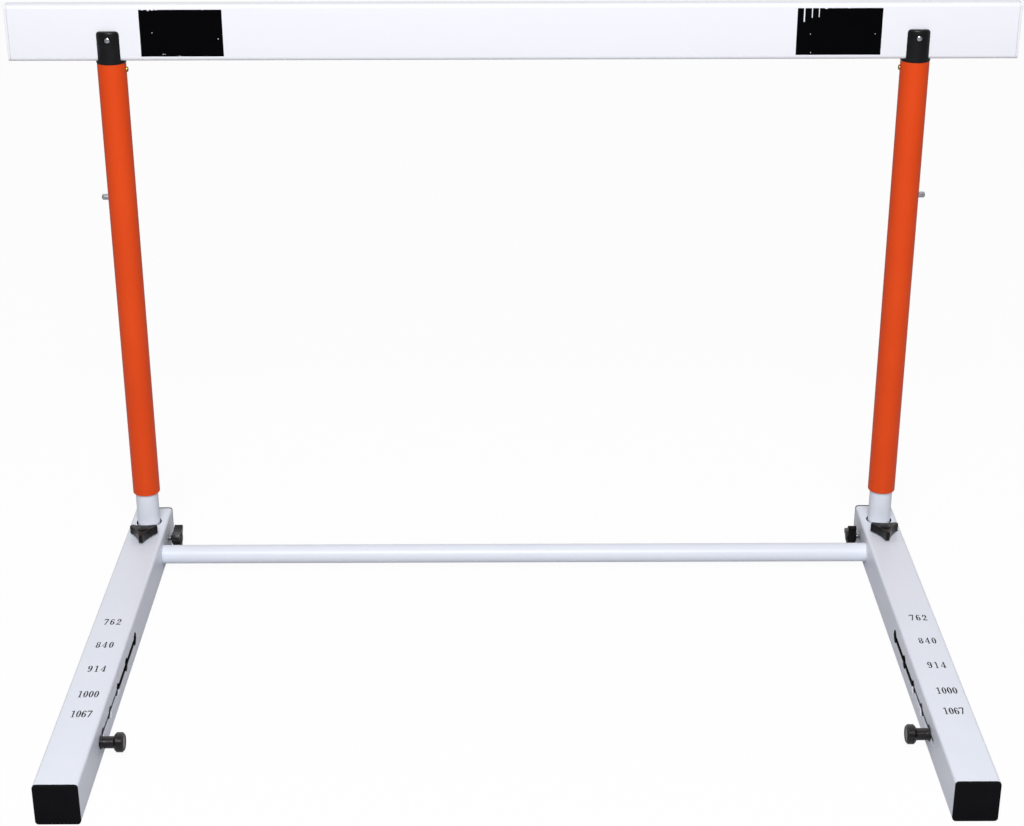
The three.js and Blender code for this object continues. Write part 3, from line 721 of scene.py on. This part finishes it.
def makeSnapButtons(sizes):
    low, high = boxMm("snap_button_left")
    middle = (low + high) / 2
    length, radius, soft = high.x - low.x, sizes["radius"], sizes["rounding"]
    rings = [(sizes["flangeRadius"], 0), (sizes["flangeRadius"], sizes["flange"]), (radius, sizes["flange"])]
    for step in range(sizes["roundingSteps"] + 1):
        angle = math.pi / 2 * step / sizes["roundingSteps"]
        rings.append((radius - soft * (1 - math.cos(angle)), length - soft * (1 - math.sin(angle))))
    piece = turned(rings, sides=48)
    move(piece, (high.x, middle.y, middle.z), (0, -math.pi / 2, 0))
    finishPair(piece, "zincSnapButton_", "snap_button_", zincPlate, "snap_button_")


makeSnapButtons(snapButton)
print("holders, screws and buttons ready")

# Three-armed knob: a disc with three hollow sides, a boss under it and a low domed hub on it
armedKnob = {"tip": 20, "thickness": 11, "boss": 7.5, "bossHeight": 1.5, "hub": 7.5, "hubRise": 1.2,
             "hubDome": ((0, 0.4), (0.8, 0.85), (2, 1)),  # distance from its rim, share of its rise
             "waist": 9.6, "tipHalfAngle": 7.5, "edge": 1.7, "socket": 4.3, "socketDepth": 9,
             "sideTurns": {"left": 0, "right": -32}}  # degrees from one arm straight down


# The knob stands on z = 0 with one arm towards -Y
def shapeKnob(sizes):
    base, top = sizes["bossHeight"], sizes["bossHeight"] + sizes["thickness"]
    reach, waist = sizes["tip"], sizes["waist"]
    disc = rod(reach, (0, 0, base), sizes["thickness"], "Z", sides=96)
    # each hollow is a circle through the tips of two arms, 60 degrees off on either side, and the waist
    tipAngle = math.radians(60 - sizes["tipHalfAngle"])
    centre = (reach ** 2 - waist ** 2) / (2 * (reach * math.cos(tipAngle) - waist))
    for angle in (-30, 90, 210):
        x, y = centre * math.cos(math.radians(angle)), centre * math.sin(math.radians(angle))
        combine(disc, rod(centre - waist, (x, y, base - over), sizes["thickness"] + 2 * over, "Z", sides=144))
    softenEdges(disc, sizes["edge"], 4, 35)
    boss = rod(sizes["boss"], (0, 0, 0), base + over, "Z", sides=48)
    rings = [(sizes["hub"], top - over)]
    rings += [(sizes["hub"] - inset, top + sizes["hubRise"] * share) for inset, share in sizes["hubDome"]]
    piece = combine(combine(disc, boss, "UNION"), turned(rings, sides=48), "UNION")
    return combine(piece, rod(sizes["socket"], (0, 0, -over), sizes["socketDepth"] + over, "Z", sides=40))


def makeArmedKnobs(sizes):
    knob = shapeKnob(sizes)
    base = boxMm("tube_clamp_knob_left")[0].z
    stud = middleMm("tube_clamp_stud_left")
    top = move(copied(knob), (stud.x, stud.y, base))
    finishPair(top, "blackTopKnob_", "tube_clamp_knob_", knobPlastic, "tube_clamp_knob_")
    base = boxMm("post_clamp_knob_left")[0].x
    stud = middleMm("post_clamp_stud_left")
    onSide = Matrix(((0, 0, 1), (1, 0, 0), (0, 1, 0)))  # stands the knob on +X with its arm down
    for side, turn in sizes["sideTurns"].items():
        own = move(copied(knob), turn=(0, 0, math.radians(turn)))
        move(own, (base, stud.y, stud.z), onSide.to_euler())
        if side == "right":
            twin = mirrored(own)
            bpy.data.objects.remove(own)
            own = twin
        finishPiece(own, "blackSideKnob_" + side, "post_clamp_knob_" + side, knobPlastic,
                    ["post_clamp_knob_" + side])
    bpy.data.objects.remove(knob)


makeArmedKnobs(armedKnob)

# Studs: a core with a helical ridge for its thread
clampStud = {"radius": 4, "pitch": 1.25, "depth": 0.55, "chamfer": 0.8, "stepsPerTurn": 20}
weightStud = {"radius": 2.5, "pitch": 0.8, "depth": 0.4, "chamfer": 0.5, "stepsPerTurn": 20}


def threadedRod(sizes, length):
    depth, chamfer = sizes["depth"], sizes["chamfer"]
    core, tip = sizes["radius"] - depth, sizes["radius"] - chamfer
    piece = turned([(tip, 0), (core, chamfer), (core, length - chamfer), (tip, length)], sides=32)
    letGo()
    bpy.ops.mesh.primitive_circle_add(vertices=3, radius=depth * mm, location=(core * mm, 0, chamfer * mm),
                                      rotation=(math.pi / 2, 0, 0), fill_type="NGON")
    ridge = applyPlace(bpy.context.object)
    turnCount = (length - 2 * chamfer) / sizes["pitch"]
    steps = int(sizes["stepsPerTurn"] * turnCount)
    modify(ridge, "SCREW", axis="Z", angle=2 * math.pi * turnCount, steps=steps, render_steps=steps,
           screw_offset=turnCount * sizes["pitch"] * mm, use_smooth_shade=True)
    pickAll(ridge)
    bpy.ops.mesh.remove_doubles(threshold=0.001 * mm)
    bpy.ops.mesh.fill_holes(sides=4)
    bpy.ops.mesh.normals_make_consistent(inside=False)
    bpy.ops.object.mode_set(mode="OBJECT")
    return joined(piece, ridge)


def makeStuds(name, node, sizes, axis):
    low, high = boxMm(node + "left")
    start, index = (low + high) / 2, "XYZ".index(axis)
    start[index] = low[index]
    piece = move(threadedRod(sizes, high[index] - low[index]), start, axisTurns[axis])
    shift = middleMm(node + "right").y - start.y
    finishPair(piece, name, node, zincPlate, node, (0, shift, 0))


makeStuds("zincTopStud_", "tube_clamp_stud_", clampStud, "Z")
makeStuds("zincSideStud_", "post_clamp_stud_", clampStud, "X")
makeStuds("zincWeightStud_", "weight_stud_", weightStud, "X")

# Weight knobs: a washer flange, a long neck and a round head with chamfered rims and a shallow dish
weightKnob = {"flange": 8, "flangeHeight": 2, "neck": 7, "neckLength": 13.5, "shoulder": 1.2, "head": 11.5,
              "headHeight": 10.8, "chamfer": 2.2, "soft": 0.4, "dishEdge": 3.2, "dishDepth": 0.5, "centre": 0.5,
              "bore": 2.8, "boreDepth": 22}


def makeWeightKnobs(sizes):
    neckTop = sizes["flangeHeight"] + sizes["neckLength"]
    headLow = neckTop + sizes["shoulder"]
    headTop = headLow + sizes["headHeight"]
    flange, flangeTop, neck = sizes["flange"], sizes["flangeHeight"], sizes["neck"]
    soft, chamfer, head = sizes["soft"], sizes["chamfer"], sizes["head"]
    dish, dishFloor = head - sizes["dishEdge"], headTop - sizes["dishDepth"]
    rings = [(flange - soft, 0), (flange, soft), (flange, flangeTop - soft), (flange - soft, flangeTop),
             (neck + soft, flangeTop), (neck, flangeTop + soft), (neck, neckTop), (head - chamfer, headLow),
             (head, headLow + chamfer), (head, headTop - chamfer), (head - chamfer, headTop), (dish, headTop),
             (dish - soft, dishFloor), (sizes["centre"], dishFloor)]
    piece = turned(rings, sides=64)
    combine(piece, rod(sizes["bore"], (0, 0, -over), sizes["boreDepth"] + over, "Z", sides=32))
    low, high = boxMm("weight_knob_left")
    middle = (low + high) / 2
    move(piece, (low.x, middle.y, middle.z), axisTurns["X"])
    shift = middleMm("weight_knob_right").y - middle.y
    finishPair(piece, "blackWeightKnob_", "weight_knob_", phenolic, "weight_knob_",
               (0, shift, 0))


makeWeightKnobs(weightKnob)
print("knobs and studs ready")

# Black panels painted on the bar. Chips (x, z, radius) and runs (x, length, half width) let the white show
barPanel = {
    "thickness": 0.15, "low": 698, "high": 756, "chipSides": 7, "runCorner": 0.9,
    "left": {"span": (-460, -358), "runs": (),
             "chips": ((-455, 756, 1), (-448, 756, 1.6), (-443, 757, 2.2), (-438, 757, 1.8),
                       (-381, 757, 1.6), (-371, 757, 1.2), (-444.9, 727.5, 0.6), (-432.9, 700.9, 0.6),
                       (-430.5, 700.9, 0.5), (-412.7, 698.3, 0.8), (-363.8, 719.9, 0.6))},
    "right": {"span": (349, 454), "runs": ((357.5, 17, 0.8), (367, 12, 0.6), (375.5, 11, 0.5)),
              "chips": ((384, 757.5, 2.8), (392, 757, 1.4), (412, 757, 1.6), (437, 757, 1.2),
                        (367.5, 700.7, 0.6), (445.9, 723.9, 0.6), (366.2, 723.9, 0.6))},
}


def makePanel(side, sizes):
    own = sizes[side]
    front = boxMm("crossbar")[0].y
    start, end = own["span"]
    piece = block((start, front - sizes["thickness"], sizes["low"]), (end, front, sizes["high"]))
    for x, z, radius in own["chips"]:
        combine(piece, rod(radius, (x, front - 2 * over, z), 4 * over, "Y", sides=sizes["chipSides"]))
    for x, length, width in own["runs"]:
        low = (x - width, front - 2 * over, sizes["high"] - length)
        high = (x + width, front + 2 * over, sizes["high"] + 2 * over)
        combine(piece, roundedBar(low, high, "Y", width * sizes["runCorner"], segments=3))
    finishPiece(piece, "blackBarPanel_" + side, "crossbar_assembly", blackFilm)


makePanel("left", barPanel)
makePanel("right", barPanel)

# Height scale printed on the legs, in upright numerals with thick stems, hairlines and flat serifs
heightScale = {
    "digitHeight": 14, "narrow": 0.66, "ink": 0.12, "thicken": 0.15, "aside": 1.5,
    # number, place ahead of the post, pitch, drift towards the inner side
    "left": (("762", -278, 8, 0.8), ("840", -334.5, 8, 1.5), ("914", -391, 8, 2.2), ("1000", -448.5, 6.3, 3.2),
             ("1067", -491.5, 6.1, 3.1)),
    "right": (("762", -274, 8, -0.8), ("840", -331, 8, -1.4), ("914", -389, 8, -1.2), ("1000", -447, 6.3, -1.7),
              ("1067", -491.5, 6.1, -0.9)),
}


# Strokes are in hundredths of the digit's height, from its middle at the foot line. Those of the ink's
# thickness print, and thicker ones only cut
def makeDigits(sizes):
    unit, ink = sizes["digitHeight"] / 100, sizes["ink"]

    def baseOf(thick):
        return 0 if thick == ink else -over

    def disc(x, y, wide, high, thick=ink):
        piece = rod(wide * unit, (x * unit, y * unit, baseOf(thick)), thick, "Z", sides=40)
        return scaled(piece, (1, high / wide, 1), (x * unit, y * unit, 0))

    def bowl(x, y, wide, high, stem, hair):
        return combine(disc(x, y, wide, high), disc(x, y, wide - stem, high - hair, 2 * over))

    def slab(left, low, right, high, thick=ink):
        base = baseOf(thick)
        return block((left * unit, low * unit, base), (right * unit, high * unit, base + thick))

    # runs 6 past both ends, so that a trim can cut them flat
    def slant(start, end, width):
        across, rise = end[0] - start[0], end[1] - start[1]
        piece = slab(-width / 2, -6, width / 2, math.hypot(across, rise) + 6)
        turn = math.atan2(rise, across) - math.pi / 2
        return move(piece, (start[0] * unit, start[1] * unit, 0), (0, 0, turn))

    # each stroke is a hair thicker than the one before, so that no two have faces in one plane
    def whole(first, *others):
        for step, other in enumerate(others, 1):
            scaled(other, (1, 1, 1 + sizes["thicken"] * step), (0, 0, ink / 2))
            combine(first, other, "UNION")
        return first

    def trimmed(piece, left, low, right, high):
        return combine(piece, slab(left, low, right, high, 2 * over), "INTERSECT")

    def six():
        hook = combine(bowl(0, 50, 29, 50, 19, 5), slab(0, -5, 40, 84, 2 * over))
        combine(hook, slab(-40, -5, 0, 30, 2 * over))
        return whole(bowl(0, 30, 29, 30, 19, 5), hook, disc(17, 85, 8, 8))

    flag, diagonal = slant((-24, 84), (4, 99), 7), slant((-24, 4), (20, 62), 9)
    brace, stem = slant((-32, 26), (14, 98), 6), slant((-4, 0), (24, 92), 14)
    arch = combine(bowl(0, 70, 28, 30, 19, 5), slab(-40, 30, 6, 70, 2 * over))
    digits = {
        "0": bowl(0, 50, 29, 50, 19, 5),
        "1": whole(slab(-8, 0, 8, 99), trimmed(flag, -26, 78, 0, 99), slab(-22, 0, 22, 5)),
        "2": whole(arch, disc(-18, 72, 9, 9), trimmed(diagonal, -30, 0, 28, 68), slab(-28, 0, 28, 13)),
        "4": whole(slab(4, 0, 20, 100), slab(-32, 24, 32, 30), trimmed(brace, -32, 24, 20, 100),
                   slab(-4, 0, 28, 4)),
        "6": six(),
        "7": whole(slab(-28, 86, 28, 100), slab(-28, 72, -24, 100), trimmed(stem, -20, 0, 30, 100)),
        "8": whole(bowl(0, 74, 25, 26, 14, 4), bowl(0, 27, 29, 27, 19, 5)),
        "9": move(six(), (0, 100 * unit, 0), (0, 0, math.pi)),
    }
    for digit in digits.values():
        scaled(digit, (sizes["narrow"], 1, 1))
    return digits


def printScale(sizes):
    digits = makeDigits(sizes)
    for side, way in (("left", -1), ("right", 1)):
        top = boxMm("leg_tube_" + side)[1].z
        printed = []
        for number, ahead, pitch, drift in sizes[side]:
            for index, digit in enumerate(number):
                x = way * (abs(postX) + sizes["aside"] - drift) + (index - (len(number) - 1) / 2) * pitch
                y = postY + ahead - sizes["digitHeight"] / 2
                printed.append(move(copied(digits[digit]), (x, y, top)))
        finishPiece(joined(*printed), "printedScale_" + side, "base", legInk)
    for digit in digits.values():
        bpy.data.objects.remove(digit)


printScale(heightScale)
print("printed scale ready")

# Leaf springs behind the snap buttons: copies of the CAD springs, merged and given their finish
snapSpring = {"stroke": 10.5, "play": 0.3, "smoothAngle": 25}


def makeSnapSprings(sizes):
    for side in ("left", "right"):
        node = "snap_spring_" + side
        low, high = boxMm(node)
        spring = copied(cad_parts[node])
        for key in list(spring.keys()):
            del spring[key]
        pickAll(spring)
        bpy.ops.mesh.remove_doubles(threshold=0.01 * mm)
        bpy.ops.object.mode_set(mode="OBJECT")
        finishPiece(spring, "zincSnapSpring_" + side, "base", springSteel, [node],
                    sizes["smoothAngle"])
        width, anchor = high.x - low.x, (low + high) / 2 * mm
        anchor.x = (high.x if side == "left" else low.x) * mm  # the arm that rests on the post's inner wall
        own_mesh(spring)


makeSnapSprings(snapSpring)

# CAD nodes that keep their shape get their finish
keptNodes = {"counterweight_": castIron, "tube_clamp_nut_": zincPlate, "post_clamp_nut_": zincPlate,
             "post_guide_bush_": bushPlastic}
for start, finish in keptNodes.items():
    for side in ("left", "right"):
        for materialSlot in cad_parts[start + side].material_slots:
            materialSlot.material = finish
print("springs and CAD nodes finished")

# Floor, backdrop and lamp
studio = {"floorSize": 24, "floorColor": "#f6f6f8", "bounceColor": "#bebec1", "floorGlow": 0.95,
          "floorRoughness": 0.9, "floorSpecular": 0.1, "white": "#ffffff",
          "horizon": 0.4, "skyLevel": 0.27, "rearLevel": 0.42, "frontLevel": 0.25,
          "key": {"place": (-100, -2800, 3000), "aim": (0, 100, 350), "size": 1.6, "power": 136}}


def makeStudio(look):
    letGo()
    bpy.ops.mesh.primitive_plane_add(size=look["floorSize"], location=(0, 0, 0))
    floor = bpy.context.object
    floor.name = "studioFloor"
    # matt paint: looks white to the camera, but throws only a plain grey's light back on the legs
    shine = {"Roughness": look["floorRoughness"], "Specular_IOR_Level": look["floorSpecular"]}
    material, shader, links = newMaterial("mattPaintedFloor", **shine)
    seen = addNode(material, "LightPath").outputs["Is Camera Ray"]
    shades = {0: seen, 6: hexColor(look["bounceColor"]), 7: hexColor(look["floorColor"])}
    links.new(addNode(material, "Mix", shades, data_type="RGBA").outputs[2], shader.inputs["Base Color"])
    glow = addNode(material, "Emission", {"Color": hexColor(look["white"]), "Strength": 1.0})
    share = addNode(material, "Math", {0: seen, 1: look["floorGlow"]}, operation="MULTIPLY")
    both = addNode(material, "MixShader", {0: share.outputs[0], 1: shader.outputs[0], 2: glow.outputs[0]})
    links.new(both.outputs[0], material.node_tree.nodes["Material Output"].inputs["Surface"])
    floor.data.materials.append(material)
    # white where it is seen or mirrored from behind the hurdle, plainer for light on the object
    world = bpy.data.worlds.new("whiteStudio")
    bpy.context.scene.world = world
    world.use_nodes = True
    rays = addNode(world, "LightPath").outputs
    way = addNode(world, "TexCoord").outputs["Generated"]
    depth = addNode(world, "SeparateXYZ", {0: way}).outputs["Y"]
    spread = {"Value": depth, "From Min": -look["horizon"], "From Max": look["horizon"]}
    mirror = {**spread, "To Min": look["frontLevel"], "To Max": 1.0}
    backdrop = addNode(world, "MapRange", mirror).outputs[0]
    soft = {**spread, "To Min": look["skyLevel"], "To Max": look["rearLevel"]}
    sky = addNode(world, "MapRange", soft).outputs[0]
    glossy = {0: rays["Is Glossy Ray"], 2: sky, 3: backdrop}
    level = addNode(world, "Mix", glossy, data_type="FLOAT").outputs[0]
    seen = {0: rays["Is Camera Ray"], 1: rays["Is Transmission Ray"]}
    clear = addNode(world, "Math", seen, operation="MAXIMUM")
    level = addNode(world, "Math", {0: level, 1: clear.outputs[0]}, operation="MAXIMUM").outputs[0]
    background = world.node_tree.nodes["Background"]
    background.inputs["Color"].default_value = hexColor(look["white"])
    world.node_tree.links.new(level, background.inputs["Strength"])
    lamp = look["key"]
    data = bpy.data.lights.new("keyLamp", "AREA")
    data.shape, data.size, data.energy = "SQUARE", lamp["size"], lamp["power"]
    light = bpy.data.objects.new("keyLamp", data)
    bpy.context.scene.collection.objects.link(light)
    place, aim = Vector(lamp["place"]) * mm, Vector(lamp["aim"]) * mm
    light.location = place
    light.rotation_euler = (aim - place).to_track_quat("-Z", "Y").to_euler()


makeStudio(studio)
bpy.context.scene.view_settings.view_transform = "Standard"
print("studio ready")

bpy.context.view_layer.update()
letGo()
